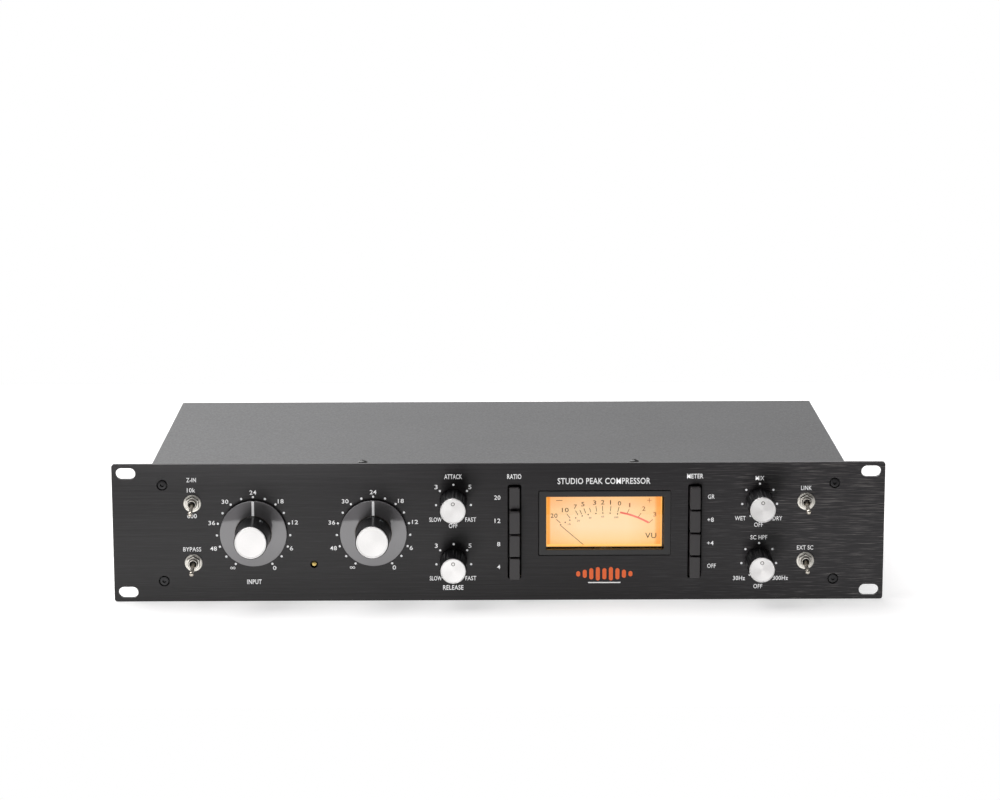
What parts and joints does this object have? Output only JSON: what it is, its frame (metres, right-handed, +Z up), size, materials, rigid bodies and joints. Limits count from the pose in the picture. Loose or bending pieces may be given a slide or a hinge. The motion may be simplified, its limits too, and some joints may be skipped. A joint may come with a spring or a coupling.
{
  "type": "rack compressor",
  "caption": "Rack-mount audio compressor with a brushed black panel, skirted level knobs, small fluted knobs, push-button banks, toggle switches and a lit needle meter.",
  "frame": {"origin": "centre of the tray's underside, which is one millimetre above the front panel's lower edge", "axes": "+X to the right seen from the front, +Y from the front panel into the rack, +Z up"},
  "size_m": [0.4826, 0.2369, 0.0885],
  "materials": {
    "black_anodised": "brushed along its length and anodised black, satin",
    "black_steel": "blackened, satin",
    "polished_skirt": "polished, tinted grey, mirror bright",
    "black_plastic": "polished black moulding",
    "spun_aluminium": "spun, bright",
    "zinc": "zinc plated",
    "board": "green solder resist",
    "brass": "bright slotted screw",
    "nickel": "nickel plated",
    "key_plastic": "fine matt dark grey",
    "moulding": "matt black moulding",
    "acrylic": "clear polished acrylic",
    "dial": "printed card, lit warm from behind",
    "pointer": "thin painted aluminium",
    "powder_coat": "fine textured charcoal powder coat",
    "copper": "amber insulating tape over copper windings",
    "lamination": "varnished laminations"
  },
  "bodies": {
    "case": {"front_panel": "black_anodised", "panel_screw_top_left": "black_steel", "panel_screw_top_right": "black_steel", "panel_screw_bottom_left": "black_steel", "panel_screw_bottom_right": "black_steel", "level_control_board": "board", "timing_control_board": "board", "blend_control_board": "board", "impedance_switch": "nickel", "bypass_switch": "nickel", "link_switch": "nickel", "sidechain_switch": "nickel", "ratio_switch_bank": "moulding", "meter_switch_bank": "moulding", "meter_case": "moulding", "meter_window": "acrylic", "meter_scale": "dial", "meter_movement": "zinc", "chassis_tray": "powder_coat", "top_cover": "powder_coat", "cover_screw_left": "black_steel", "cover_screw_right": "black_steel", "main_board": "board", "power_transformer": "copper", "input_transformer": "lamination", "output_transformer": "lamination", "line_input_socket": "moulding", "line_output_socket": "moulding", "link_jack": "nickel", "power_inlet": "moulding"},
    "input_control": {"input_knob_skirt": "polished_skirt", "input_knob_grip": "black_plastic", "input_knob_cap": "spun_aluminium", "input_shaft": "zinc"},
    "output_control": {"output_knob_skirt": "polished_skirt", "output_knob_grip": "black_plastic", "output_knob_cap": "spun_aluminium", "output_shaft": "zinc"},
    "attack_control": {"attack_knob_grip": "black_plastic", "attack_knob_cap": "spun_aluminium"},
    "release_control": {"release_knob_grip": "black_plastic", "release_knob_cap": "spun_aluminium"},
    "mix_control": {"mix_knob_grip": "black_plastic", "mix_knob_cap": "spun_aluminium"},
    "filter_control": {"filter_knob_grip": "black_plastic", "filter_knob_cap": "spun_aluminium"},
    "trimmer": {"trim_screw": "brass"},
    "impedance_toggle": {"impedance_lever": "nickel"},
    "bypass_toggle": {"bypass_lever": "nickel"},
    "link_toggle": {"link_lever": "nickel"},
    "sidechain_toggle": {"sidechain_lever": "nickel"},
    "ratio_button_20_key": {"ratio_button_20": "key_plastic"},
    "ratio_button_12_key": {"ratio_button_12": "key_plastic"},
    "ratio_button_8_key": {"ratio_button_8": "key_plastic"},
    "ratio_button_4_key": {"ratio_button_4": "key_plastic"},
    "meter_button_gr_key": {"meter_button_gr": "key_plastic"},
    "meter_button_plus_8_key": {"meter_button_plus_8": "key_plastic"},
    "meter_button_plus_4_key": {"meter_button_plus_4": "key_plastic"},
    "meter_button_off_key": {"meter_button_off": "key_plastic"},
    "needle": {"meter_pointer": "pointer"}
  },
  "joints": [
    {"name": "input_level", "type": "hinge", "parent": "case", "child": "input_control", "pos_m": [-0.1534, -0.1046, 0.043], "axis": [0, 1, 0], "range_deg": [-150, 150]},
    {"name": "output_level", "type": "hinge", "parent": "case", "child": "output_control", "pos_m": [-0.0784, -0.1046, 0.043], "axis": [0, 1, 0], "range_deg": [-150, 150]},
    {"name": "attack_time", "type": "hinge", "parent": "case", "child": "attack_control", "pos_m": [-0.0285, -0.1046, 0.06205], "axis": [0, 1, 0], "range_deg": [-150, 150]},
    {"name": "release_time", "type": "hinge", "parent": "case", "child": "release_control", "pos_m": [-0.0285, -0.1046, 0.02395], "axis": [0, 1, 0], "range_deg": [-150, 150]},
    {"name": "mix_amount", "type": "hinge", "parent": "case", "child": "mix_control", "pos_m": [0.1629, -0.1046, 0.06205], "axis": [0, 1, 0], "range_deg": [-150, 150]},
    {"name": "filter_frequency", "type": "hinge", "parent": "case", "child": "filter_control", "pos_m": [0.1629, -0.1046, 0.02395], "axis": [0, 1, 0], "range_deg": [-150, 150]},
    {"name": "zero_trim", "type": "hinge", "parent": "case", "child": "trimmer", "pos_m": [-0.11585, -0.1032, 0.0226], "axis": [0, 1, 0], "range_deg": [-135, 135]},
    {"name": "impedance_flip", "type": "hinge", "parent": "case", "child": "impedance_toggle", "pos_m": [-0.1913, -0.1056, 0.06205], "axis": [-1, 0, 0], "range_deg": [0, 29]},
    {"name": "bypass_flip", "type": "hinge", "parent": "case", "child": "bypass_toggle", "pos_m": [-0.1913, -0.1056, 0.02395], "axis": [-1, 0, 0], "range_deg": [0, 29]},
    {"name": "link_flip", "type": "hinge", "parent": "case", "child": "link_toggle", "pos_m": [0.1922, -0.1056, 0.06205], "axis": [-1, 0, 0], "range_deg": [0, 29]},
    {"name": "sidechain_flip", "type": "hinge", "parent": "case", "child": "sidechain_toggle", "pos_m": [0.1922, -0.1056, 0.02395], "axis": [-1, 0, 0], "range_deg": [0, 29]},
    {"name": "ratio_button_20_press", "type": "slide", "parent": "case", "child": "ratio_button_20_key", "axis": [0, 1, 0], "range_m": [-0.0046, 0]},
    {"name": "ratio_button_12_press", "type": "slide", "parent": "case", "child": "ratio_button_12_key", "axis": [0, 1, 0], "range_m": [0, 0.0046]},
    {"name": "ratio_button_8_press", "type": "slide", "parent": "case", "child": "ratio_button_8_key", "axis": [0, 1, 0], "range_m": [0, 0.0046]},
    {"name": "ratio_button_4_press", "type": "slide", "parent": "case", "child": "ratio_button_4_key", "axis": [0, 1, 0], "range_m": [0, 0.0046]},
    {"name": "meter_button_gr_press", "type": "slide", "parent": "case", "child": "meter_button_gr_key", "axis": [0, 1, 0], "range_m": [0, 0.0046]},
    {"name": "meter_button_plus_8_press", "type": "slide", "parent": "case", "child": "meter_button_plus_8_key", "axis": [0, 1, 0], "range_m": [0, 0.0046]},
    {"name": "meter_button_plus_4_press", "type": "slide", "parent": "case", "child": "meter_button_plus_4_key", "axis": [0, 1, 0], "range_m": [0, 0.0046]},
    {"name": "meter_button_off_press", "type": "slide", "parent": "case", "child": "meter_button_off_key", "axis": [0, 1, 0], "range_m": [0, 0.0046]},
    {"name": "needle_swing", "type": "hinge", "parent": "case", "child": "needle", "pos_m": [0.06645, -0.097, 0.0213], "axis": [0, 1, 0], "range_deg": [0, 97]}
  ]
}
